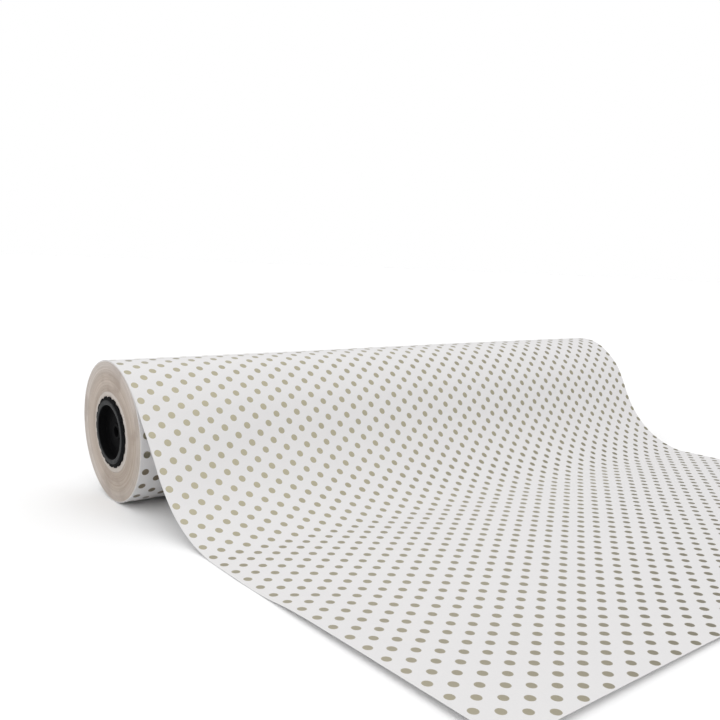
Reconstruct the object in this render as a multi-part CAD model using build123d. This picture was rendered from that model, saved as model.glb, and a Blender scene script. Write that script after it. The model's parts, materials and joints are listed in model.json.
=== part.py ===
from build123d import *
import math
import os

# ---------------------------------------------------------------------------
# Counter roll of gift-wrapping paper, lying on a table with a length drawn off
# over its top.  Millimetres, +Z up.
#   X  along the roll's axis, the drawn-off sheet lies towards -Y.
#   Origin: on the table, under the middle of the whole object's outline.
# ---------------------------------------------------------------------------

# roll
ROLL_WIDTH = 500.0          # width of the paper, and length of the core
ROLL_R = 46.44              # outer radius of the roll, last turn included
WEB_T = 0.8                 # thickness of the solid that stands for the sheet
TURN_GAP = 0.3              # running clearance between the last turn and the coil

# core tube
CORE_OD = 53.0
CORE_ID = 45.0

# tape that holds the start of the paper on the core
TAPE_WIDTH = 12.0
TAPE_LENGTH = 480.0
TAPE_T = 0.22

# drawn-off sheet: slope below the horizontal (degrees) at distances (mm) along
# the outer face, counted from the crest of the roll
SLOPE = [
    (28.84, 35.53), (43.26, 40.68), (58.87, 57.87), (75.69, 60.83),
    (92.51, 53.15), (109.33, 43.37), (126.15, 31.41), (142.97, 19.28),
    (159.79, 8.51), (175.40, 0.0), (191.02, 0.0),
]
SHEET_END = 379.6           # front cut edge, same distance measure
TURN_START = 66.0 - 360.0   # where the last turn leaves the coil, under the sheet (degrees from the crest)

# end plug: moulded cup with a toothed flange, pressed in each end of the core
FLANGE_R = 23.5
FLANGE_T = 1.2
TEETH = 20
TOOTH_DEPTH = 1.1
RIM_R = 20.8
RIM_H = 0.4                 # the rim ring stands this much above the flange
CUP_R_MOUTH = 17.8
CUP_R_FLOOR = 17.2
CUP_FLOOR = 4.5             # depth of the cup's floor below the roll's end face
CUP_FLOOR_T = 2.0
BOSS_R = 5.5
BOSS_H = 1.0
SPINDLE_R = 3.5             # centre hole
BARREL_R = 21.7
BARREL_WALL = 2.0
BARREL_LENGTH = 20.0
RIBS = 12
RIB_R = CORE_ID / 2 - 0.05  # ribs grip the core's bore
RIB_WIDTH = 2.4

# placing: the roll stands on the table; the outline is centred on Y = 0
HALF = ROLL_WIDTH / 2


def slope_at(s, scale):
    """Slope in radians at distance s, by a monotone cubic through the table."""
    pts = [(a, b * scale if n else b) for n, (a, b) in enumerate(SLOPE)]
    if s >= pts[-1][0]:
        return 0.0
    k = max(n for n in range(len(pts) - 1) if pts[n][0] <= s or n == 0)

    def secant(n):
        return (pts[n + 1][1] - pts[n][1]) / (pts[n + 1][0] - pts[n][0])

    def tangent(n):
        if n == 0:
            return secant(0)
        if n == len(pts) - 1:
            return 0.0
        a, b = secant(n - 1), secant(n)
        return 0.0 if a * b <= 0 else 2 * a * b / (a + b)

    h = pts[k + 1][0] - pts[k][0]
    t = (s - pts[k][0]) / h
    d = (
        (2 * t**3 - 3 * t**2 + 1) * pts[k][1]
        + (t**3 - 2 * t**2 + t) * h * tangent(k)
        + (-2 * t**3 + 3 * t**2) * pts[k + 1][1]
        + (t**3 - t**2) * h * tangent(k + 1)
    )
    return math.radians(d)


def descent(scale, step=0.25):
    """Outer face of the sheet from where it leaves the roll to the flat: (s, y, z, slope), y from the roll's axis."""
    s0, phi0 = SLOPE[0][0], math.radians(SLOPE[0][1])
    y, z = -ROLL_R * math.sin(phi0), ROLL_R + ROLL_R * math.cos(phi0)
    out = [(s0, y, z, phi0)]
    n = int(round((SLOPE[-2][0] - s0) / step))
    ds = (SLOPE[-2][0] - s0) / n
    for m in range(n):
        mid = slope_at(s0 + (m + 0.5) * ds, scale)
        y -= math.cos(mid) * ds
        z -= math.sin(mid) * ds
        out.append((s0 + (m + 1) * ds, y, z, slope_at(s0 + (m + 1) * ds, scale)))
    return out


# scale the slopes a little so that the sheet comes down exactly on the table
low, high = 0.95, 1.05
for _ in range(40):
    mid_scale = (low + high) / 2
    if descent(mid_scale)[-1][2] > WEB_T:
        low = mid_scale
    else:
        high = mid_scale
path = descent((low + high) / 2)

flat_start_y = path[-1][1]
front_y = flat_start_y - (SHEET_END - SLOPE[-2][0])
AXIS_Y = -(front_y + ROLL_R) / 2      # roll's axis, so that the outline is centred
AXIS_Z = ROLL_R
print("roll axis y", round(AXIS_Y, 3), "front edge y", round(front_y + AXIS_Y, 3), "back y", round(AXIS_Y + ROLL_R, 3))


def on_roll(radius, deg):
    """Point on the roll, deg from the crest towards the sheet's side."""
    a = math.radians(deg)
    return Vector(-HALF, AXIS_Y - radius * math.sin(a), AXIS_Z + radius * math.cos(a))


def loose_sheet():
    """Last turn round the coil, then the length that leaves the crest, comes down and lies flat."""
    leave = SLOPE[0][1]
    inner = ROLL_R - WEB_T
    picks = [round(n * (len(path) - 1) / 16) for n in range(17)]
    top = [Vector(-HALF, path[n][1] + AXIS_Y, path[n][2]) for n in picks]
    under = [
        Vector(
            -HALF,
            path[n][1] + AXIS_Y + WEB_T * math.sin(path[n][3]),
            path[n][2] - WEB_T * math.cos(path[n][3]),
        )
        for n in picks
    ]
    top[0], under[0] = on_roll(ROLL_R, leave), on_roll(inner, leave)
    start_dir = Vector(0, -math.cos(math.radians(leave)), -math.sin(math.radians(leave)))
    end_dir = Vector(0, -1, 0)
    a, b = TURN_START, leave
    m1, m2 = a + (b - a) / 3, a + 2 * (b - a) / 3

    def arcs(radius):
        return [
            Edge.make_three_point_arc(on_roll(radius, p), on_roll(radius, (p + q) / 2), on_roll(radius, q))
            for p, q in ((a, m1), (m1, m2), (m2, b))
        ]

    front_top = Vector(-HALF, front_y + AXIS_Y, WEB_T)
    front_low = Vector(-HALF, front_y + AXIS_Y, 0)
    edges = arcs(ROLL_R)
    edges.append(Edge.make_spline(top, tangents=[start_dir, end_dir]))
    edges.append(Edge.make_line(top[-1], front_top))
    edges.append(Edge.make_line(front_top, front_low))
    edges.append(Edge.make_line(front_low, under[-1]))
    edges.append(Edge.make_spline(under, tangents=[start_dir, end_dir]))
    edges += arcs(inner)
    edges.append(Edge.make_line(on_roll(inner, a), on_roll(ROLL_R, a)))
    return Solid.extrude(Face(Wire(edges)), Vector(ROLL_WIDTH, 0, 0))


def along_x(length, x_start=-HALF):
    """Placing for a thing drawn about its own Z axis, laid along +X on the roll's axis."""
    return Location((x_start, AXIS_Y, AXIS_Z), (0, 90, 0))


def ring(outer, inner, length, x_start):
    return along_x(length, x_start) * (
        Cylinder(outer, length, align=(Align.CENTER, Align.CENTER, Align.MIN))
        - Cylinder(inner, length, align=(Align.CENTER, Align.CENTER, Align.MIN))
    )


def tape_piece(r0, r1, width, length):
    """Curved strip on the core's surface, on the side away from the sheet."""
    half_angle = math.degrees(width / 2 / (CORE_OD / 2))
    a0, a1 = -90 - half_angle, -90 + half_angle
    p = [on_roll(r0, a0), on_roll(r0, -90), on_roll(r0, a1), on_roll(r1, a1), on_roll(r1, -90), on_roll(r1, a0)]
    edges = [
        Edge.make_three_point_arc(p[0], p[1], p[2]),
        Edge.make_line(p[2], p[3]),
        Edge.make_three_point_arc(p[3], p[4], p[5]),
        Edge.make_line(p[5], p[0]),
    ]
    strip = Solid.extrude(Face(Wire(edges)), Vector(length, 0, 0))
    return Pos((ROLL_WIDTH - length) / 2, 0, 0) * strip


def end_plug():
    """Plug for the -X end, drawn with its own +Z pointing into the core and z = 0 on the roll's end face."""
    face_z = -FLANGE_T - RIM_H
    profile = Polyline(
        (SPINDLE_R, CUP_FLOOR + CUP_FLOOR_T),
        (SPINDLE_R, CUP_FLOOR - BOSS_H),
        (BOSS_R, CUP_FLOOR - BOSS_H),
        (BOSS_R, CUP_FLOOR),
        (CUP_R_FLOOR, CUP_FLOOR),
        (CUP_R_MOUTH, face_z + 0.4),
        (CUP_R_MOUTH + 0.4, face_z),
        (RIM_R - 0.5, face_z),
        (RIM_R, -FLANGE_T),
        (FLANGE_R - 0.3, -FLANGE_T),
        (FLANGE_R, -FLANGE_T + 0.3),
        (FLANGE_R, 0),
        (BARREL_R, 0),
        (BARREL_R, BARREL_LENGTH - 1.0),
        (BARREL_R - 0.8, BARREL_LENGTH),
        (BARREL_R - BARREL_WALL, BARREL_LENGTH),
        (BARREL_R - BARREL_WALL, CUP_FLOOR + CUP_FLOOR_T),
        close=True,
    )
    section = Plane.XZ * make_face(profile)
    body = revolve(section, Axis.Z)
    # teeth: V-shaped notches round the flange
    pitch = 2 * math.pi / TEETH
    notch_profile = make_face(
        Polyline(
            (FLANGE_R - TOOTH_DEPTH, 0),
            (FLANGE_R + 1.0, -1.9),
            (FLANGE_R + 1.0, 1.9),
            close=True,
        )
    )
    notch = Pos(0, 0, -FLANGE_T - 0.5) * extrude(notch_profile, amount=FLANGE_T + 0.5)
    for n in range(TEETH):
        body -= Rot(0, 0, math.degrees(pitch * (n + 0.5))) * notch
    # ribs that grip the bore
    rib_profile = make_face(
        Polyline(
            (BARREL_R - 0.5, -RIB_WIDTH / 2),
            (RIB_R, -RIB_WIDTH / 4),
            (RIB_R, RIB_WIDTH / 4),
            (BARREL_R - 0.5, RIB_WIDTH / 2),
            close=True,
        )
    )
    rib = extrude(rib_profile, amount=BARREL_LENGTH - 2.0)
    for n in range(RIBS):
        body += Rot(0, 0, 360 / RIBS * n) * rib
    # the flats of the rib tips stay inside the bore
    sleeve = Cylinder(RIB_R + 4, BARREL_LENGTH, align=(Align.CENTER, Align.CENTER, Align.MIN)) - Cylinder(
        RIB_R, BARREL_LENGTH, align=(Align.CENTER, Align.CENTER, Align.MIN)
    )
    body -= sleeve
    return body


coil_inner = CORE_OD / 2
coil_outer = ROLL_R - WEB_T - TURN_GAP

core_tube = ring(CORE_OD / 2, CORE_ID / 2, ROLL_WIDTH, -HALF)
wound_paper = ring(coil_outer, coil_inner, ROLL_WIDTH, -HALF)
start_tape = tape_piece(coil_inner, coil_inner + TAPE_T, TAPE_WIDTH, TAPE_LENGTH)
wound_paper = wound_paper - tape_piece(coil_inner - 0.5, coil_inner + TAPE_T + 0.03, TAPE_WIDTH + 0.1, TAPE_LENGTH + 0.2)

plug = end_plug()
end_plug_left = along_x(0, -HALF) * plug
end_plug_right = Location((HALF, AXIS_Y, AXIS_Z), (0, -90, 0)) * plug

parts = {
    "loose_sheet": loose_sheet(),
    "wound_paper": wound_paper,
    "core_tube": core_tube,
    "start_tape": start_tape,
    "end_plug_left": end_plug_left,
    "end_plug_right": end_plug_right,
}

os.makedirs("parts", exist_ok=True)
for name, shape in parts.items():
    export_step(shape, f"parts/{name}.step")
    box = shape.bounding_box()
    print(name, round(shape.volume), [round(v, 2) for v in (*box.min, *box.max)])
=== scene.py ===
import json
import math

import bpy
import numpy as np
from mathutils import Matrix, Vector


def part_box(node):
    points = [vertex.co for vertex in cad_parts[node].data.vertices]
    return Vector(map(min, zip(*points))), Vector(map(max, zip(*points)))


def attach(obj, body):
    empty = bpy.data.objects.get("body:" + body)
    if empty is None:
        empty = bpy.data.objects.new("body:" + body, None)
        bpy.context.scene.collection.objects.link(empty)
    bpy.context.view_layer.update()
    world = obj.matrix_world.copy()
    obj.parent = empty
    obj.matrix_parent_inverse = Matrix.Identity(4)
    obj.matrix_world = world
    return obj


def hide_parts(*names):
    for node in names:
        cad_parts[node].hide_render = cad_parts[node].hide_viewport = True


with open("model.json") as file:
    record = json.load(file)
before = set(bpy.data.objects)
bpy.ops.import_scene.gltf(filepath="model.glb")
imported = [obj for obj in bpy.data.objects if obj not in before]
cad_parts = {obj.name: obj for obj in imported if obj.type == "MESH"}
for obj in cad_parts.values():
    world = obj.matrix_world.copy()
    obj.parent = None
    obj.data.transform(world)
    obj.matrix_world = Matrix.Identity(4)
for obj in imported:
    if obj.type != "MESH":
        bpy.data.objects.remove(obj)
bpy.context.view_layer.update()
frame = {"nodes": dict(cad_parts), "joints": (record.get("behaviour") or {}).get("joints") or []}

# --------------------------------------------------------------------------
# sizes, in metres, in the frame of the CAD model
# --------------------------------------------------------------------------
MM = 0.001
coil_lo, coil_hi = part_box("wound_paper")
core_lo, core_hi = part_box("core_tube")
sheet_lo, sheet_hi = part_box("loose_sheet")
AXIS_Y, AXIS_Z = next(j for j in frame["joints"] if j["name"] == "roll_turn")["pos_m"][1:]
HALF = (coil_hi.x - coil_lo.x) / 2              # half the paper's width
CORE_R = (core_hi.y - core_lo.y) / 2
CORE_BORE = CORE_R - 4 * MM
ROLL_R = sheet_hi.z / 2                         # outer radius, last turn included
PAPER_T = 0.12 * MM
COIL_R = ROLL_R - 0.24 * MM                     # the coil just inside the last turn

# slope of the drawn-off sheet below the horizontal (degrees) at distances (mm)
# along its outer face, counted from the crest of the roll
SLOPE = [
    (28.84, 35.53), (43.26, 40.68), (58.87, 57.87), (75.69, 60.83),
    (92.51, 53.15), (109.33, 43.37), (126.15, 31.41), (142.97, 19.28),
    (159.79, 8.51), (175.40, 0.0), (191.02, 0.0),
]
S_END = 379.6
TURN_START = 66.0 - 360.0


def pchip(xs, ys, q):
    """Monotone cubic through a table."""
    xs, ys, q = np.asarray(xs, float), np.asarray(ys, float), np.asarray(q, float)
    h, d = np.diff(xs), np.diff(ys) / np.diff(xs)
    m = np.zeros(len(xs))
    m[0] = d[0]
    for k in range(1, len(xs) - 1):
        m[k] = 0.0 if d[k - 1] * d[k] <= 0 else 2 * d[k - 1] * d[k] / (d[k - 1] + d[k])
    k = np.clip(np.searchsorted(xs, q) - 1, 0, len(xs) - 2)
    t = np.clip((q - xs[k]) / h[k], 0, 1)
    return (
        (2 * t**3 - 3 * t**2 + 1) * ys[k]
        + (t**3 - 2 * t**2 + t) * h[k] * m[k]
        + (-2 * t**3 + 3 * t**2) * ys[k + 1]
        + (t**3 - t**2) * h[k] * m[k + 1]
    )


def side_curve(land):
    """Outer face of the sheet seen from the end: arrays s (mm), y and z (m), slope (rad). The flat part lies at height land (m)."""
    radius = ROLL_R / MM
    xs = [a for a, _ in SLOPE]
    first = math.degrees(xs[0] / radius)
    s = np.arange(math.radians(TURN_START) * radius, S_END + 0.001, 0.1)

    def run(scale):
        ys = [first] + [b * scale for _, b in SLOPE[1:]]
        phi = np.where(
            s < xs[0], s / radius, np.where(s > xs[-1], 0.0, np.radians(pchip(xs, ys, s)))
        )
        mid = (phi[1:] + phi[:-1]) / 2
        y = np.concatenate([[0], np.cumsum(-np.cos(mid) * 0.1)])
        z = np.concatenate([[0], np.cumsum(-np.sin(mid) * 0.1)])
        y -= np.interp(0, s, y)
        z += 2 * radius - np.interp(0, s, z)
        return y, z, phi

    lo, hi = 0.95, 1.05
    for _ in range(40):
        scale = (lo + hi) / 2
        if run(scale)[1][-1] > land / MM:
            lo = scale
        else:
            hi = scale
    y, z, phi = run(scale)
    return s, y * MM + AXIS_Y, z * MM, phi


# --------------------------------------------------------------------------
# node helpers
# --------------------------------------------------------------------------
class Nodes:
    def __init__(self, name):
        self.mat = bpy.data.materials.new(name)
        self.mat.use_nodes = True
        self.nt = self.mat.node_tree
        self.nt.nodes.clear()
        self.out = self.nt.nodes.new("ShaderNodeOutputMaterial")
        self.bsdf = self.nt.nodes.new("ShaderNodeBsdfPrincipled")
        self.nt.links.new(self.bsdf.outputs[0], self.out.inputs[0])

    def link(self, a, b):
        self.nt.links.new(a, b)

    def put(self, socket, value):
        if hasattr(value, "is_linked"):
            self.link(value, socket)
        else:
            socket.default_value = value

    def math(self, op, a, b=None, c=None, clamp=False):
        n = self.nt.nodes.new("ShaderNodeMath")
        n.operation = op
        n.use_clamp = clamp
        for k, v in enumerate((a, b, c)):
            if v is not None:
                self.put(n.inputs[k], v)
        return n.outputs[0]

    def vmath(self, op, a, b=None, scale=None):
        n = self.nt.nodes.new("ShaderNodeVectorMath")
        n.operation = op
        self.put(n.inputs[0], a)
        if b is not None:
            self.put(n.inputs[1], b)
        if scale is not None:
            self.put(n.inputs["Scale"], scale)
        return n.outputs["Value"] if op in ("LENGTH", "DOT_PRODUCT", "DISTANCE") else n.outputs[0]

    def attr(self, name):
        n = self.nt.nodes.new("ShaderNodeAttribute")
        n.attribute_name = name
        return n.outputs["Vector"]

    def coords(self, kind="Object"):
        return self.nt.nodes.new("ShaderNodeTexCoord").outputs[kind]

    def split(self, v):
        n = self.nt.nodes.new("ShaderNodeSeparateXYZ")
        self.put(n.inputs[0], v)
        return n.outputs

    def join(self, x, y, z):
        n = self.nt.nodes.new("ShaderNodeCombineXYZ")
        for k, v in enumerate((x, y, z)):
            self.put(n.inputs[k], v)
        return n.outputs[0]

    def noise(self, v, scale, detail=2.0, rough=0.5, dist=0.0):
        n = self.nt.nodes.new("ShaderNodeTexNoise")
        self.put(n.inputs["Vector"], v)
        n.inputs["Scale"].default_value = scale
        n.inputs["Detail"].default_value = detail
        n.inputs["Roughness"].default_value = rough
        n.inputs["Distortion"].default_value = dist
        return n.outputs[0]

    def white(self, v):
        n = self.nt.nodes.new("ShaderNodeTexWhiteNoise")
        n.noise_dimensions = "3D"
        self.put(n.inputs["Vector"], v)
        return n.outputs["Value"]

    def remap(self, v, a, b, c, d, smooth=False):
        n = self.nt.nodes.new("ShaderNodeMapRange")
        if smooth:
            n.interpolation_type = "SMOOTHSTEP"
        self.put(n.inputs["Value"], v)
        for name, x in zip(("From Min", "From Max", "To Min", "To Max"), (a, b, c, d)):
            self.put(n.inputs[name], x)
        return n.outputs[0]

    def mix(self, f, a, b, kind="MIX"):
        n = self.nt.nodes.new("ShaderNodeMix")
        n.data_type = "RGBA"
        n.blend_type = kind
        self.put(n.inputs[0], f)
        self.put(n.inputs[6], a)
        self.put(n.inputs[7], b)
        return n.outputs[2]

    def bump(self, height, strength, distance, normal=None):
        n = self.nt.nodes.new("ShaderNodeBump")
        n.inputs["Strength"].default_value = strength
        n.inputs["Distance"].default_value = distance
        self.put(n.inputs["Height"], height)
        if normal is not None:
            self.put(n.inputs["Normal"], normal)
        return n.outputs[0]


def rgb(r, g, b):
    return (r, g, b, 1.0)


# --------------------------------------------------------------------------
# materials
# --------------------------------------------------------------------------
PAPER = rgb(0.724, 0.714, 0.716)
INK = rgb(0.412, 0.382, 0.280)
PITCH_U = 8.2328         # columns of dots, mm
PITCH_S = 12.0135        # dots in a column
FIRST_U = 3.8313         # first column from the left edge
PHASE_S = 63.64
STEP = 0.50301           # each column is moved by half a dot, and the print runs a little askew
DOT_R = 2.30


def dot_distance(n, u, s):
    """Distance (mm) to the nearest dot's centre and a number for that dot, from the place on the web in mm."""
    found = []
    for k in (0, 1):
        x = n.math("DIVIDE", n.math("SUBTRACT", u, FIRST_U + k * PITCH_U), 2 * PITCH_U)
        m = n.math("ROUND", x)
        dx = n.math("MULTIPLY", n.math("SUBTRACT", x, m), 2 * PITCH_U)
        y = n.math("DIVIDE", n.math("SUBTRACT", s, PHASE_S + (STEP * (k - 3)) * PITCH_S), PITCH_S)
        y = n.math("SUBTRACT", y, n.math("MULTIPLY", m, 2 * STEP - 1))
        r = n.math("ROUND", y)
        dy = n.math("MULTIPLY", n.math("SUBTRACT", y, r), PITCH_S)
        d = n.math("SQRT", n.math("ADD", n.math("MULTIPLY", dx, dx), n.math("MULTIPLY", dy, dy)))
        found.append((d, n.join(m, r, float(k))))
    nearer = n.math("LESS_THAN", found[1][0], found[0][0])
    d = n.math("MINIMUM", found[0][0], found[1][0])
    cell = n.vmath("ADD", found[0][1], n.vmath("SCALE", n.vmath("SUBTRACT", found[1][1], found[0][1]), scale=nearer))
    return d, n.white(cell)


def printed_paper(name, back_print=False):
    """White coated paper. Attribute "web" holds (across, along, 0) in metres."""
    n = Nodes(name)
    web = n.attr("web")
    u, s, _ = n.split(n.vmath("SCALE", web, scale=1000.0))
    fibre = n.noise(n.vmath("SCALE", web, scale=1000.0), 0.9, 4.0, 0.6)
    cloud = n.noise(n.vmath("SCALE", web, scale=1000.0), 0.02, 2.0, 0.5)
    edge = n.noise(n.vmath("SCALE", web, scale=1000.0), 1.6, 2.0, 0.5)
    d, cell = dot_distance(n, u, s)
    d = n.math("ADD", d, n.math("MULTIPLY", n.math("SUBTRACT", edge, 0.5), 0.16))
    size = n.math("ADD", DOT_R, n.math("MULTIPLY", n.math("SUBTRACT", cell, 0.5), 0.10))
    mask = n.remap(n.math("SUBTRACT", d, size), -0.06, 0.06, 1.0, 0.0, smooth=True)
    paper = n.mix(n.remap(cloud, 0.3, 0.7, 0.0, 1.0), PAPER, rgb(0.735, 0.723, 0.722))
    paper = n.mix(n.remap(fibre, 0.35, 0.75, 0.0, 0.5), paper, rgb(0.696, 0.690, 0.692))
    ink = n.mix(n.remap(cell, 0.0, 1.0, 0.0, 0.55), INK, rgb(0.450, 0.415, 0.305))
    ink = n.mix(n.remap(fibre, 0.45, 0.8, 0.0, 0.35), ink, rgb(0.464, 0.431, 0.330))
    # the ink runs a little lighter towards the free end
    ink = n.mix(n.remap(s, 215.0, 310.0, 0.0, 0.50, smooth=True), ink, rgb(0.536, 0.486, 0.372))
    # painted shade and reflection: on the roll's lower front the ink is darkened to stand for the dark under the sheet
    # that it reflects
    painted_dark_reflection = n.math("MULTIPLY", n.remap(s, -219.0, -206.0, 0.0, 1.0, smooth=True), n.remap(s, -166.0, -156.0, 1.0, 0.0, smooth=True))
    ink = n.mix(painted_dark_reflection, ink, rgb(0.262, 0.220, 0.158))
    if back_print:
        # the print shows through a little on the back
        n.put(n.bsdf.inputs["Base Color"], n.mix(n.math("MULTIPLY", mask, 0.10), paper, ink))
        n.bsdf.inputs["Metallic"].default_value = 0.0
        n.put(n.bsdf.inputs["Roughness"], n.remap(fibre, 0.3, 0.8, 0.68, 0.82))
        n.bsdf.inputs["Specular IOR Level"].default_value = 0.25
        n.put(n.bsdf.inputs["Normal"], n.bump(fibre, 0.25, 0.00006))
        return n.mat
    n.put(n.bsdf.inputs["Base Color"], n.mix(mask, paper, ink))
    n.put(n.bsdf.inputs["Metallic"], n.math("MULTIPLY", mask, 1.0))
    n.put(n.bsdf.inputs["Roughness"], n.mix_f(mask, n.remap(fibre, 0.3, 0.8, 0.50, 0.62), n.remap(fibre, 0.3, 0.8, 0.27, 0.38)))
    n.bsdf.inputs["Specular IOR Level"].default_value = 0.35
    height = n.math("ADD", n.math("MULTIPLY", fibre, 0.35), n.math("MULTIPLY", mask, 0.25))
    n.put(n.bsdf.inputs["Normal"], n.bump(height, 0.35, 0.00006))
    return n.mat


def _mix_f(self, f, a, b):
    n = self.nt.nodes.new("ShaderNodeMix")
    n.data_type = "FLOAT"
    self.put(n.inputs[0], f)
    self.put(n.inputs[2], a)
    self.put(n.inputs[3], b)
    return n.outputs[0]


Nodes.mix_f = _mix_f


def cut_edges():
    """End of the coil: thousands of cut paper edges. Object origin is on the roll's axis."""
    n = Nodes("cut_paper_edges")
    p = n.vmath("SCALE", n.coords(), scale=1000.0)
    x, y, z = n.split(p)
    r = n.vmath("LENGTH", n.join(0.0, y, z))
    ring = n.join(r, 0.0, 0.0)
    # each turn is a cut edge; groups of turns stand proud or sunk and catch the light differently
    along = n.math("MULTIPLY", y, 0.02)
    about = n.math("MULTIPLY", z, 0.02)
    fine = n.noise(n.join(r, along, about), 3.2, 6.0, 0.75)
    band = n.noise(n.join(r, n.math("MULTIPLY", y, 0.010), n.math("MULTIPLY", z, 0.010)), 0.55, 2.0, 0.5)
    line = n.noise(n.join(n.math("ADD", r, 40.0), n.math("MULTIPLY", y, 0.008), n.math("MULTIPLY", z, 0.008)), 1.25, 2.0, 0.5)
    blot = n.noise(p, 0.055, 3.0, 0.55, 0.4)
    smear = n.noise(n.join(n.math("MULTIPLY", r, 0.25), n.math("MULTIPLY", y, 0.09), n.math("MULTIPLY", z, 0.09)), 1.0, 3.0, 0.6)
    col = n.mix(n.remap(band, 0.38, 0.62, 0.0, 1.0), rgb(0.470, 0.399, 0.354), rgb(0.618, 0.539, 0.489))
    col = n.mix(n.remap(line, 0.47, 0.58, 0.0, 0.78, smooth=True), col, rgb(0.442, 0.368, 0.323))
    col = n.mix(n.remap(fine, 0.42, 0.68, 0.0, 0.74), col, rgb(0.640, 0.574, 0.526))
    col = n.mix(n.remap(blot, 0.50, 0.70, 0.0, 0.60, smooth=True), col, rgb(0.375, 0.308, 0.270))
    col = n.mix(n.remap(smear, 0.56, 0.75, 0.0, 0.35, smooth=True), col, rgb(0.60, 0.55, 0.49))
    # darker close to the core
    near = n.remap(r, CORE_R / MM + 1.0, CORE_R / MM + 10.0, 0.30, 0.0, smooth=True)
    col = n.mix(near, col, rgb(0.400, 0.335, 0.295))
    # browner inside, whiter in the outer turns
    inner = n.mix(n.remap(r, 29.0, 36.0, 0.0, 1.0, smooth=True), rgb(0.835, 0.820, 0.785), rgb(0.850, 0.838, 0.805))
    tone = n.mix(n.remap(r, 35.0, 44.5, 0.0, 1.0, smooth=True), inner, rgb(0.960, 1.0, 1.02))
    col = n.mix(1.0, col, tone, "MULTIPLY")
    # painted shade: the lower front of the end face, under the drawn-off sheet, is darkened and warmed as if in its
    # shadow, broken up by the smear pattern
    painted_shade_lower_front = n.math("ADD", n.math("MULTIPLY", y, -0.0128), n.math("ADD", n.math("MULTIPLY", z, -0.0096), n.math("MULTIPLY", smear, 0.5)))
    col = n.mix(n.remap(painted_shade_lower_front, 0.30, 0.95, 0.0, 0.42, smooth=True), col, rgb(0.330, 0.270, 0.215))
    # the last turns show their white print coat
    last = n.remap(r, (COIL_R / MM) - 0.75, (COIL_R / MM) - 0.35, 0.0, 0.85, smooth=True)
    col = n.mix(last, col, rgb(0.66, 0.645, 0.635))
    n.put(n.bsdf.inputs["Base Color"], col)
    n.put(n.bsdf.inputs["Roughness"], n.remap(fine, 0.3, 0.8, 0.62, 0.82))
    n.bsdf.inputs["Specular IOR Level"].default_value = 0.25
    n.put(n.bsdf.inputs["Normal"], n.bump(n.math("ADD", fine, n.math("MULTIPLY", line, 0.6)), 0.6, 0.00014))
    return n.mat


def core_board():
    """Spiral wound grey-pink board."""
    n = Nodes("core_board")
    p = n.vmath("SCALE", n.coords(), scale=1000.0)
    x, y, z = n.split(p)
    r = n.vmath("LENGTH", n.join(0.0, y, z))
    angle = n.math("ARCTAN2", z, y)
    fibre = n.noise(n.join(n.math("MULTIPLY", x, 0.5), y, z), 1.3, 5.0, 0.65)
    ply = n.noise(n.join(r, n.math("MULTIPLY", y, 0.02), n.math("MULTIPLY", z, 0.02)), 1.7, 3.0, 0.6)
    turn = n.math("FRACT", n.math("ADD", n.math("DIVIDE", x, 74.0), n.math("DIVIDE", angle, 2 * math.pi)))
    seam = n.remap(n.math("ABSOLUTE", n.math("SUBTRACT", turn, 0.5)), 0.0, 0.008, 1.0, 0.0, smooth=True)
    col = n.mix(n.remap(fibre, 0.3, 0.7, 0.0, 1.0), rgb(0.455, 0.405, 0.365), rgb(0.560, 0.512, 0.470))
    col = n.mix(n.remap(ply, 0.4, 0.7, 0.0, 0.5), col, rgb(0.610, 0.570, 0.535))
    col = n.mix(n.math("MULTIPLY", seam, 0.5), col, rgb(0.30, 0.24, 0.20))
    n.put(n.bsdf.inputs["Base Color"], col)
    n.bsdf.inputs["Roughness"].default_value = 0.85
    n.bsdf.inputs["Specular IOR Level"].default_value = 0.2
    n.put(n.bsdf.inputs["Normal"], n.bump(n.math("SUBTRACT", fibre, n.math("MULTIPLY", seam, 0.6)), 0.5, 0.0002))
    return n.mat


def black_plastic(name, gloss):
    """Moulded black plastic: satin on the rim, matt in the cup."""
    n = Nodes(name)
    p = n.vmath("SCALE", n.coords(), scale=1000.0)
    x, y, z = n.split(p)
    r = n.vmath("LENGTH", n.join(0.0, y, z))
    grain = n.noise(p, 5.0, 3.0, 0.6)
    rub = n.noise(p, 0.35, 4.0, 0.6, 0.3)
    dust = n.noise(p, 1.8, 5.0, 0.7)
    tool = n.noise(n.join(n.math("MULTIPLY", r, 3.0), n.math("MULTIPLY", y, 0.03), n.math("MULTIPLY", z, 0.03)), 1.4, 3.0, 0.6)
    if gloss:
        col = n.mix(n.remap(rub, 0.40, 0.75, 0.0, 1.0), rgb(0.0040, 0.0046, 0.0056), rgb(0.0085, 0.0098, 0.0115))
        col = n.mix(n.remap(dust, 0.60, 0.82, 0.0, 0.07, smooth=True), col, rgb(0.10, 0.11, 0.12))
        rough = n.remap(rub, 0.3, 0.7, 0.38, 0.54)
        n.bsdf.inputs["Specular IOR Level"].default_value = 0.20
    else:
        col = n.mix(n.remap(rub, 0.40, 0.75, 0.0, 1.0), rgb(0.0026, 0.0027, 0.0031), rgb(0.0052, 0.0052, 0.0056))
        col = n.mix(n.remap(dust, 0.62, 0.84, 0.0, 0.04, smooth=True), col, rgb(0.08, 0.08, 0.08))
        rough = n.remap(rub, 0.3, 0.7, 0.58, 0.72)
        n.bsdf.inputs["Specular IOR Level"].default_value = 0.05
    n.put(n.bsdf.inputs["Base Color"], col)
    n.put(n.bsdf.inputs["Roughness"], n.math("ADD", rough, n.math("MULTIPLY", tool, 0.08)))
    n.put(n.bsdf.inputs["Normal"], n.bump(n.math("ADD", n.math("MULTIPLY", grain, 0.5), tool), 0.30, 0.00006))
    return n.mat


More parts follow.
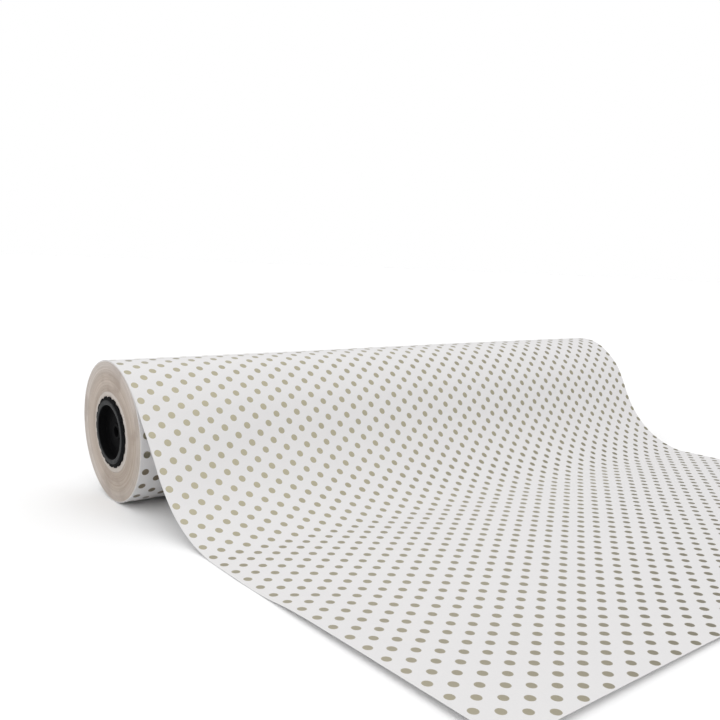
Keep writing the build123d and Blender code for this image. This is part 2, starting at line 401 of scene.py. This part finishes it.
def tape_material():
    n = Nodes("tissue_tape")
    p = n.vmath("SCALE", n.coords(), scale=1000.0)
    f = n.noise(p, 0.8, 4.0, 0.6)
    n.put(n.bsdf.inputs["Base Color"], n.mix(n.remap(f, 0.3, 0.7, 0.0, 1.0), rgb(0.62, 0.58, 0.42), rgb(0.74, 0.70, 0.55)))
    n.put(n.bsdf.inputs["Roughness"], n.remap(f, 0.3, 0.7, 0.3, 0.5))
    n.put(n.bsdf.inputs["Normal"], n.bump(f, 0.4, 0.0001))
    return n.mat


# --------------------------------------------------------------------------
# meshes
# --------------------------------------------------------------------------
def make_object(name, verts, faces, mats=(), face_mats=None, smooth=True, origin=None):
    me = bpy.data.meshes.new(name)
    me.from_pydata([tuple(v) for v in verts], [], [tuple(f) for f in faces])
    me.update()
    ob = bpy.data.objects.new(name, me)
    bpy.context.scene.collection.objects.link(ob)
    for m in mats:
        me.materials.append(m)
    if face_mats is not None:
        me.polygons.foreach_set("material_index", np.asarray(face_mats, np.int32))
    me.polygons.foreach_set("use_smooth", np.full(len(me.polygons), bool(smooth)))
    if origin is not None:
        me.transform(Matrix.Translation(-Vector(origin)))
        ob.location = origin
    me.update()
    return ob


def sharp_by_angle(ob, degrees):
    me = ob.data
    me.set_sharp_from_angle(angle=math.radians(degrees))


def smooth_noise(x, seed, octaves=3):
    """Sum of sines with fixed pseudo-random phases, about -1 to 1."""
    rng = np.random.default_rng(seed)
    out = np.zeros_like(np.asarray(x, float))
    for k in range(octaves * 2):
        out += np.sin(np.asarray(x, float) * (0.7 + 1.35 * k + rng.random()) + rng.random() * 6.28) / (1 + 0.6 * k)
    return out / 2.2


# how far (mm) the sheet's face stands off its smooth curve: rows are places across
# the sheet, columns are distances along it from the crest of the roll
RISE_U = [-2.0, 62.5, 126.5, 189.5, 253.5, 317.5, 380.5, 444.5, 508.5]
RISE_S = [-60.0, -26.0, 0.0, 16.0, 32.0, 50.0, 75.0, 105.0, 140.0, 175.0, 215.0, 260.0, 310.0, 385.0]
RISE = [
    (0, 0.0, 0.0, -0.1, -0.3, -0.8, 0.3, 1.2, 0.9, 0.2, 0.5, 2.5, 2.9, 2.9),
    (0, 0.0, 0.0, 0.1, -0.1, -0.9, -0.1, 0.8, 0.6, -0.7, -0.7, 0.1, 0.3, 2.7),
    (0, 0.0, 0.1, 0.4, 0.2, -0.8, -0.2, 0.6, 0.4, -0.6, -0.9, -0.6, -0.4, 2.1),
    (0, 0.1, 0.4, 0.7, 0.7, -0.4, 0.0, 0.6, 0.3, -0.4, -0.6, -0.4, -0.1, 0.8),
    (0, 0.2, 0.7, 1.0, 1.1, 0.0, 0.2, 0.4, 0.2, 0.0, 0.1, 0.2, 0.2, 0.3),
    (0, 0.3, 0.9, 1.3, 1.5, 0.2, 0.2, 0.1, 0.0, 0.1, 0.1, 0.3, 0.2, 0.1),
    (0, 0.3, 0.9, 1.4, 1.6, 0.3, 0.0, -0.3, -0.5, -0.2, 0.0, 0.1, 0.1, 0.1),
    (0, 0.3, 0.8, 1.3, 1.6, 0.3, -0.3, -0.9, -1.0, -0.7, -0.4, -0.2, 0.0, 0.2),
    (0, 0.2, 0.5, 0.9, 1.1, 0.4, -0.5, -1.2, -1.4, -1.2, -0.8, -0.4, 0.0, 0.3),
]


# the free left edge itself bends a little more than the sheet beside it (mm, against the distance from the crest)
EDGE_S = [-60.0, 38.0, 44.0, 48.0, 52.0, 56.0, 60.0, 64.0, 66.0, 70.0, 75.0, 80.0, 86.0, 90.0, 100.0, 110.0, 122.0, 198.0, 213.0, 226.0, 246.0, 385.0]
EDGE = [0.0, 0.0, -0.3, -0.8, -1.1, -1.15, -1.15, -0.85, -0.6, 0.0, 0.45, 0.85, 1.3, 1.15, 0.6, 0.3, 0.0, 0.0, -0.45, -0.5, 0.0, 0.0]
# how far (mm) that edge drifts outwards on the table
DRIFT_S = [-60.0, 158.0, 178.0, 205.0, 385.0]
DRIFT = [0.0, 0.0, 0.6, 1.35, 1.35]


def rise(u, s):
    """The tables above, smoothly joined, with a few faint ripples."""
    along = np.array([pchip(RISE_S, row, s[0]) for row in RISE])
    out = np.array([pchip(RISE_U, along[:, k], u[:, 0]) for k in range(along.shape[1])]).T
    near = np.clip(1.0 - u / 62.0, 0, 1)
    out = out + pchip(EDGE_S, EDGE, s[0])[None, :] * near * near * (3 - 2 * near)
    free = np.clip((s - 40.0) / 60.0, 0, 1)
    ripple = np.sin(u / 47.0 + s / 88.0) * np.sin(s / 34.0 + 0.6) + 0.6 * np.sin(u / 23.0 - s / 61.0 + 1.1)
    return out + 0.10 * ripple * free


def printed(s):
    """Place in the print (mm) for a distance along the sheet: the turn that is on the roll is wound a little looser at the back, which moves the print on its lower front."""
    a = s / (ROLL_R / MM)
    t = np.clip((a - math.radians(-185.0)) / math.radians(130.0), 0, 1)
    return s - 5.83 * (1 - t * t * (3 - 2 * t))


def build_sheet():
    land = PAPER_T + 0.02 * MM
    s, y, z, phi = side_curve(land)
    # stations along the sheet: close together on the bends
    knots = [s[0]]
    while knots[-1] < S_END - 0.5:
        here = knots[-1]
        knots.append(here + (2.0 if here < 185 else 3.0))
    knots[-1] = S_END
    st = np.array(knots)
    us = np.concatenate([[0, 1.0, 2.5], np.arange(5, 495.1, 4.9), [497.5, 499.0, 500]])
    U, S = np.meshgrid(us, st, indexing="ij")
    Y, Z, P = (np.interp(S, s, a) for a in (y, z, phi))
    off = rise(U, S) * MM
    drift = pchip(DRIFT_S, DRIFT, st)[None, :] * np.clip(1.0 - U / 6.0, 0, 1)
    top = np.stack([(U - drift) * MM - HALF, Y - off * np.sin(P), Z + off * np.cos(P)], -1)
    top[..., 2] = np.where(S > 130.0, np.maximum(top[..., 2], land), top[..., 2])
    # where it lies on the roll the paper does not sink into the coil
    ry, rz = top[..., 1] - AXIS_Y, top[..., 2] - AXIS_Z
    push = np.where(S < 60.0, np.maximum(1.0, (ROLL_R - 0.08 * MM) / np.hypot(ry, rz)), 1.0)
    top[..., 1], top[..., 2] = AXIS_Y + ry * push, AXIS_Z + rz * push
    # normals from the displaced surface
    du = np.gradient(top, axis=0)
    dsv = np.gradient(top, axis=1)
    nrm = np.cross(dsv, du)
    nrm /= np.linalg.norm(nrm, axis=-1, keepdims=True)
    out = np.stack([np.zeros_like(P), -np.sin(P), np.cos(P)], -1)
    nrm *= np.sign((nrm * out).sum(-1, keepdims=True))
    low = top - nrm * PAPER_T
    nu, ns = U.shape
    verts = np.concatenate([top.reshape(-1, 3), low.reshape(-1, 3)])
    idx = np.arange(nu * ns).reshape(nu, ns)
    a, b, c, d = idx[:-1, :-1].ravel(), idx[1:, :-1].ravel(), idx[1:, 1:].ravel(), idx[:-1, 1:].ravel()
    n0 = nu * ns
    faces = list(zip(a, d, c, b)) + list(zip(a + n0, b + n0, c + n0, d + n0))
    fm = [0] * len(a) + [1] * len(a)
    rim = (
        [(i, j) for i, j in zip(idx[:-1, 0], idx[1:, 0])]
        + [(i, j) for i, j in zip(idx[-1, :-1], idx[-1, 1:])]
        + [(i, j) for i, j in zip(idx[::-1, -1][:-1], idx[::-1, -1][1:])]
        + [(i, j) for i, j in zip(idx[0, ::-1][:-1], idx[0, ::-1][1:])]
    )
    for i, j in rim:
        faces.append((i, j, j + n0, i + n0))
        fm.append(1)
    ob = make_object(
        "paper_sheet", verts, faces, (printed_paper("printed_paper"), printed_paper("paper_back", True)), fm
    )
    att = ob.data.attributes.new("web", "FLOAT_VECTOR", "POINT")
    w = np.stack([(U - drift) * MM, printed(S) * MM, np.zeros_like(U)], -1).reshape(-1, 3)
    att.data.foreach_set("vector", np.concatenate([w, w]).astype(np.float32).ravel())
    sharp_by_angle(ob, 60)
    return ob, (2 * HALF, (S_END - s[0]) * MM)


def lathe(name, profile, segments, mats, seg_mats=None, closed=True, shape=None, origin=None):
    """Turns a profile [(x, r)] in metres about the roll's axis. shape(angle, k) may return (dx, dr) arrays for profile point k."""
    ang = np.arange(segments) * 2 * math.pi / segments
    rows = []
    for k, (x, r) in enumerate(profile):
        dx, dr = shape(ang, k) if shape else (0.0, 0.0)
        rr = r + dr
        rows.append(np.stack([np.full(segments, x) + dx, AXIS_Y + rr * np.cos(ang), AXIS_Z + rr * np.sin(ang)], -1))
    verts = np.concatenate(rows)
    n = len(profile)
    faces, fm = [], []
    last = n if closed else n - 1
    for k in range(last):
        k2 = (k + 1) % n
        for m in range(segments):
            m2 = (m + 1) % segments
            faces.append((k * segments + m, k2 * segments + m, k2 * segments + m2, k * segments + m2))
            fm.append(seg_mats[k] if seg_mats else 0)
    ob = make_object(name, verts, faces, mats, fm, origin=origin)
    return ob


def fix_normals(ob):
    import bmesh
    bm = bmesh.new()
    bm.from_mesh(ob.data)
    bmesh.ops.recalc_face_normals(bm, faces=bm.faces)
    bm.to_mesh(ob.data)
    bm.free()
    ob.data.update()


AXIS = Vector((0.0, AXIS_Y, AXIS_Z))


def build_coil():
    """The wound paper: two end faces whose layers stand a little uneven, and the printed outside."""
    seg = 320
    r0, r1 = CORE_R + 0.02 * MM, COIL_R
    radii = np.linspace(r0, r1 - 0.9 * MM, 84)
    radii = np.concatenate([radii, [r1 - 0.7 * MM, r1 - 0.5 * MM, r1 - 0.3 * MM, r1 - 0.12 * MM, r1 - 0.03 * MM]])
    frac = (radii - r0) / (r1 - r0)

    def layers(seed):
        rng = np.random.default_rng(seed)
        steps = rng.normal(0, 1, len(radii))
        steps = np.convolve(steps, [0.25, 0.5, 0.25], "same")
        wave = smooth_noise(frac * 9.0, seed + 5)
        d = 0.055 * steps + 0.10 * wave
        d[-5:-1] += np.array([0.05, 0.12, 0.16, 0.12])
        d[-1] -= 0.02
        d[:2] *= 0.3
        return d * MM

    left, right = layers(3), layers(11)
    prof = [(-HALF - left[k], radii[k]) for k in range(len(radii))]
    n_left = len(prof)
    outside = [(x, r1) for x in np.linspace(-HALF + 0.12 * MM, HALF - 0.12 * MM, 41)]
    prof += outside
    prof += [(HALF + right[k], radii[k]) for k in range(len(radii))][::-1]
    prof += [(x, r0) for x in np.linspace(HALF - 1 * MM, -HALF + 1 * MM, 11)]
    mats = [0] * n_left + [1] * (len(outside) - 1) + [0] * (len(radii) + 11 + 1)
    mats = mats[: len(prof)]
    radial = np.array([p[1] for p in prof])

    def shape(ang, k):
        r = radial[k]
        if k < n_left or (n_left + len(outside)) <= k < n_left + len(outside) + len(radii):
            f = (r - r0) / (r1 - r0)
            side = -1 if k < n_left else 1
            ripple = 0.05 * np.sin(2 * ang + 7 * f) + 0.04 * np.sin(3 * ang - 11 * f + 1.0) + 0.03 * np.sin(5 * ang + 23 * f)
            return side * ripple * MM * min(1.0, 6 * f), 0.0
        return 0.0, 0.0

    ob = lathe("paper_coil", prof, seg, (cut_edges(), printed_paper("printed_coil")), mats, shape=shape)
    # place on the web for the printed outside
    co = np.empty(len(ob.data.vertices) * 3, np.float32)
    ob.data.vertices.foreach_get("co", co)
    co = co.reshape(-1, 3)
    a = np.arctan2(-(co[:, 1] - AXIS_Y), co[:, 2] - AXIS_Z)
    att = ob.data.attributes.new("web", "FLOAT_VECTOR", "CORNER")
    loops = np.empty(len(ob.data.loops), np.int32)
    ob.data.loops.foreach_get("vertex_index", loops)
    al = a[loops].reshape(-1, 4)
    low = al.min(1, keepdims=True)
    al = np.where(al - low > math.pi, al - 2 * math.pi, al)
    w = np.stack([co[loops, 0] + HALF, al.ravel() * ROLL_R, np.zeros(len(loops))], -1)
    att.data.foreach_set("vector", w.astype(np.float32).ravel())
    fix_normals(ob)
    ob.data.transform(Matrix.Translation(-AXIS))
    ob.location = AXIS
    sharp_by_angle(ob, 50)
    return ob


def build_core():
    """The board tube, with softly broken end corners."""
    r1, r0 = CORE_R, CORE_BORE
    ends = [(0.35, 0.0), (0.12, 0.06), (0.0, 0.3)]
    prof = []
    for dx, dr in ends:
        prof.append((-HALF + dx * MM - 0.1 * MM, r1 - dr * MM))
    face = [(r1 - 0.3 * MM) * (1 - t) + (r0 + 0.4 * MM) * t for t in np.linspace(0, 1, 14)[1:-1]]
    bump = smooth_noise(np.linspace(0, 6, len(face)), 21) * 0.06 * MM
    # pressed back a little where the plug's flange is seated on it
    prof += [(-HALF + 0.02 * MM if r < 23.9 * MM else -HALF - 0.1 * MM - bump[k], r) for k, r in enumerate(face)]
    prof += [(-HALF + 0.02 * MM, r0 + 0.3 * MM), (-HALF + 0.06 * MM, r0 + 0.08 * MM), (-HALF + 0.25 * MM, r0)]
    inner = [(x, r0) for x in np.linspace(-HALF + 2 * MM, HALF - 2 * MM, 61)]
    half_n = len(prof)
    mirror = [(-x, r) for x, r in prof][::-1]
    prof = prof + inner + mirror + [(x, r1) for x in np.linspace(HALF - 2 * MM, -HALF + 2 * MM, 61)]

    def shape(ang, k):
        x = prof[k][0]
        if half_n <= k < half_n + 61:
            # spiral joints of the inner ply
            t = (x / (74 * MM) + ang / (2 * math.pi)) % 1.0
            return 0.0, np.exp(-(((t - 0.5) / 0.006) ** 2)) * 0.12 * MM
        return 0.0, 0.0

    ob = lathe("core_tube_board", prof, 240, (core_board(),), shape=shape)
    fix_normals(ob)
    ob.data.transform(Matrix.Translation(-AXIS))
    ob.location = AXIS
    sharp_by_angle(ob, 40)
    return ob


TEETH = 20


def arc_points(cx, cr, rad, a0, a1, n):
    return [(cx + rad * math.cos(math.radians(a)), cr + rad * math.sin(math.radians(a))) for a in np.linspace(a0, a1, n)]


def build_plug(name, end):
    """Cup-shaped plug. Drawn for the -X end (depth d counted into the core from the roll's end face), mirrored for the other."""
    prof = []      # (depth mm, radius mm, tooth weight)

    def add(d, r, t=0.0):
        prof.append((d, r, t))

    face = -1.6
    # through hole, boss, floor
    add(6.5, 3.75)
    add(6.3, 3.5)
    add(5.0, 3.5)
    add(3.75, 3.5)
    add(3.58, 3.56)
    add(3.5, 3.72)
    add(3.5, 4.4)
    add(3.5, 5.1)
    add(3.58, 5.38)
    add(3.8, 5.5)
    add(4.2, 5.52)
    add(4.42, 5.62)
    add(4.5, 5.9)
    for r in (7.5, 9.5, 10.9):
        add(4.5, r)
    # a raised ring on the floor
    for d, r in ((4.42, 11.05), (4.25, 11.15), (4.18, 11.35), (4.18, 11.75), (4.25, 11.95), (4.42, 12.05)):
        add(d, r)
    for r in (12.2, 13.5, 15.0, 16.0, 16.6):
        add(4.5, r)
    add(4.38, 16.95)
    add(4.1, 17.15)
    add(3.4, 17.22)
    for t in np.linspace(0, 1, 7)[1:]:
        add(3.4 + (face + 0.75 - 3.4) * t, 17.22 + (17.80 - 17.22) * t)
    # rounded lip of the rim
    rim_from = len(prof)
    for a in (18, 36, 54, 72, 90):
        add(face + 0.5 - 0.5 * math.sin(math.radians(a)), 17.82 + 0.5 - 0.5 * math.cos(math.radians(a)))
    add(face, 18.9)
    add(face, 19.7)
    for a in (0, 25, 50, 75):
        add(face + 0.3 - 0.3 * math.cos(math.radians(a)), 20.4 + 0.3 * math.sin(math.radians(a)))
    add(-1.22, 20.72)
    rim_to = len(prof)
    # toothed flange, sloping back from the rim
    add(-1.16, 20.85)
    add(-1.12, 21.2, 0.05)
    add(-1.04, 21.8, 0.25)
    add(-0.95, 22.4, 0.6)
    add(-0.86, 22.9, 1.0)
    add(-0.74, 23.2, 1.0)
    add(-0.55, 23.38, 1.0)
    add(-0.30, 23.42, 1.0)
    add(-0.10, 23.38, 0.95)
    add(-0.02, 23.2, 0.9)
    add(-0.01, 22.6, 0.3)
    add(-0.01, 21.9)
    add(0.15, 21.72)
    ribs = []
    for d in np.linspace(0.4, 18.6, 12):
        ribs.append(len(prof))
        add(d, 21.7)
    add(19.3, 21.6)
    add(19.8, 21.25)
    add(20.0, 20.8)
    add(20.0, 20.0)
    add(19.85, 19.75)
    add(19.5, 19.7)
    for d in np.linspace(17, 8, 6):
        add(d, 19.7)
    add(7.2, 19.5)
    add(6.7, 19.0)
    add(6.5, 18.0)
    for r in (15, 12, 9, 6, 4.6):
        add(6.5, r)
    seg = TEETH * 20
    ang = np.arange(seg) * 2 * math.pi / seg
    # tooth outline: a steep flank, a sloping back and a slightly uneven depth
    t = (ang / (2 * math.pi) * TEETH) % 1.0
    gap = np.where(t < 0.5, np.clip(1 - (0.5 - t) / 0.10, 0, 1), np.clip(1 - (t - 0.5) / 0.42, 0, 1))
    which = np.floor(ang / (2 * math.pi) * TEETH)
    gap = gap * (1.0 + 0.12 * np.sin(which * 2.4 + 0.5))
    # ribs on the barrel
    q = (ang / (2 * math.pi) * 12) % 1.0
    rib = np.clip((0.22 - np.minimum(q, 1 - q)) / 0.08, 0, 1)
    rib = rib * rib * (3 - 2 * rib)
    rows = []
    for k, (d, r, w) in enumerate(prof):
        rr = np.full(seg, r)
        if w > 0:
            rr = rr - gap * 1.15 * w
        if ribs and ribs[0] <= k <= ribs[-1]:
            ends = min(1.0, (k - ribs[0]) / 1.0, (ribs[-1] - k) / 2.0)
            rr = rr + rib * 0.73 * max(ends, 0.0)
        x = -HALF + d * MM
        rows.append(np.stack([np.full(seg, x), AXIS_Y + rr * MM * np.cos(ang), AXIS_Z + rr * MM * np.sin(ang)], -1))
    verts = np.concatenate(rows)
    if end > 0:
        verts[:, 0] *= -1
    n = len(prof)
    faces, fm = [], []
    for k in range(n):
        k2 = (k + 1) % n
        for m in range(seg):
            m2 = (m + 1) % seg
            faces.append((k * seg + m, k2 * seg + m, k2 * seg + m2, k * seg + m2))
            fm.append(0 if rim_from <= k < rim_to else 1)
    ob = make_object(name, verts, faces, (plastic, plastic_matt), fm)
    fix_normals(ob)
    at = Vector((-HALF if end < 0 else HALF, AXIS_Y, AXIS_Z))
    ob.data.transform(Matrix.Translation(-at))
    ob.location = at
    sharp_by_angle(ob, 38)
    return ob


plastic = black_plastic("black_plastic_satin", True)
plastic_matt = black_plastic("black_plastic_matt", False)

sheet, flat = build_sheet()
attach(sheet, "sheet")
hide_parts("loose_sheet")

coil = build_coil()
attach(coil, "roll")
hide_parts("wound_paper")

core = build_core()
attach(core, "roll")
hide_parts("core_tube")

for side, end in (("left", -1), ("right", 1)):
    plug = build_plug("plug_" + side + "_moulding", end)
    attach(plug, "plug_" + side)
    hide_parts("end_plug_" + side)

tape = frame["nodes"]["start_tape"]
tape.data.materials.clear()
tape.data.materials.append(tape_material())

# --------------------------------------------------------------------------
# floor, light, camera
# --------------------------------------------------------------------------
fm = Nodes("pale_floor")
fm.bsdf.inputs["Base Color"].default_value = rgb(0.955, 0.955, 0.957)
fm.bsdf.inputs["Roughness"].default_value = 0.9
fm.bsdf.inputs["Specular IOR Level"].default_value = 0.1
floor = make_object(
    "floor", [(-30, -30, -0.0002), (30, -30, -0.0002), (30, 30, -0.0002), (-30, 30, -0.0002)], [(0, 1, 2, 3)], (fm.mat,), smooth=False
)

WALL, CEILING, SIDE, GLOW, DIM = 0.45, 1.46, 0.42, 1.40, 0.38
world = bpy.data.worlds.new("studio")
bpy.context.scene.world = world
world.use_nodes = True
nt = world.node_tree
nt.nodes.clear()
out = nt.nodes.new("ShaderNodeOutputWorld")
ray = nt.nodes.new("ShaderNodeLightPath")
geo = nt.nodes.new("ShaderNodeTexCoord")
sep = nt.nodes.new("ShaderNodeSeparateXYZ")
nt.links.new(geo.outputs["Generated"], sep.inputs[0])
def world_math(op, a, b, c=None):
    node = nt.nodes.new("ShaderNodeMath")
    node.operation = op
    for k, v in enumerate((a, b, c)):
        if hasattr(v, "is_linked"):
            nt.links.new(v, node.inputs[k])
        elif v is not None:
            node.inputs[k].default_value = v
    return node.outputs[0]


# a bright ceiling, quieter walls, and the left and front walls brighter than the others
up_part = world_math("MAXIMUM", sep.outputs[2], 0.0)
across = world_math("MULTIPLY_ADD", sep.outputs[0], 0.45, world_math("MULTIPLY", sep.outputs[1], 0.45))
side = world_math("MULTIPLY", world_math("MULTIPLY", across, -SIDE), world_math("SUBTRACT", 1.0, up_part))
low = world_math("MAXIMUM", world_math("MULTIPLY_ADD", world_math("ABSOLUTE", sep.outputs[2], None), -1.0 / 0.30, 1.0), 0.0)
glow = world_math("MULTIPLY", world_math("MULTIPLY", world_math("MAXIMUM", across, 0.0), world_math("MULTIPLY", low, low)), GLOW)
# the far right of the ceiling is a little quieter
facing = world_math("ADD", world_math("MULTIPLY_ADD", sep.outputs[0], 0.80, world_math("MULTIPLY", sep.outputs[1], 0.18)), world_math("MULTIPLY", sep.outputs[2], 0.57))
dim = world_math("MULTIPLY", world_math("POWER", world_math("MAXIMUM", facing, 0.0), 6.0), -DIM)
level = world_math("ADD", world_math("ADD", world_math("MULTIPLY_ADD", up_part, CEILING - WALL, WALL), side), world_math("ADD", glow, dim))
lit = nt.nodes.new("ShaderNodeBackground")
lit.inputs["Color"].default_value = (1, 1, 1, 1)
nt.links.new(level, lit.inputs["Strength"])
seen = nt.nodes.new("ShaderNodeBackground")
seen.inputs["Color"].default_value = (1, 1, 1, 1)
seen.inputs["Strength"].default_value = 1.0
both = nt.nodes.new("ShaderNodeMixShader")
nt.links.new(ray.outputs["Is Camera Ray"], both.inputs[0])
nt.links.new(lit.outputs[0], both.inputs[1])
nt.links.new(seen.outputs[0], both.inputs[2])
nt.links.new(both.outputs[0], out.inputs[0])


def area(name, place, target, size, power):
    light = bpy.data.lights.new(name, "AREA")
    light.shape = "RECTANGLE"
    light.size, light.size_y = size
    light.energy = power
    ob = bpy.data.objects.new(name, light)
    bpy.context.scene.collection.objects.link(ob)
    ob.location = place
    ob.rotation_mode = "QUATERNION"
    ob.rotation_quaternion = (Vector(target) - Vector(place)).to_track_quat("-Z", "Y")
    return ob


area("top", (-0.5, 0.3, 2.2), (0, 0, 0), (1.8, 1.8), 2.0)
area("back", (1.15, 1.35, 1.25), (0, 0, 0.05), (1.5, 1.1), 1.2)

cam_data = bpy.data.cameras.new("camera")
cam = bpy.data.objects.new("camera", cam_data)
bpy.context.scene.collection.objects.link(cam)
right = Vector((0.776225, -0.629261, 0.038797)).normalized()
back = Vector((-0.618301, -0.747791, 0.241891)).normalized()
up = back.cross(right).normalized()
right = up.cross(back).normalized()
m = Matrix((right, up, back)).transposed().to_4x4()
m.translation = Vector((-0.44436, -0.34174, 0.15917))
cam.matrix_world = m
cam_data.sensor_width = 36.0
cam_data.lens = 39.559
cam_data.shift_x = 0.0
cam_data.shift_y = 100.5 / 720.0
cam_data.clip_start = 0.01
cam_data.clip_end = 100.0
bpy.context.scene.camera = cam
bpy.context.scene.view_settings.view_transform = "Standard"
bpy.context.scene.view_settings.look = "None"
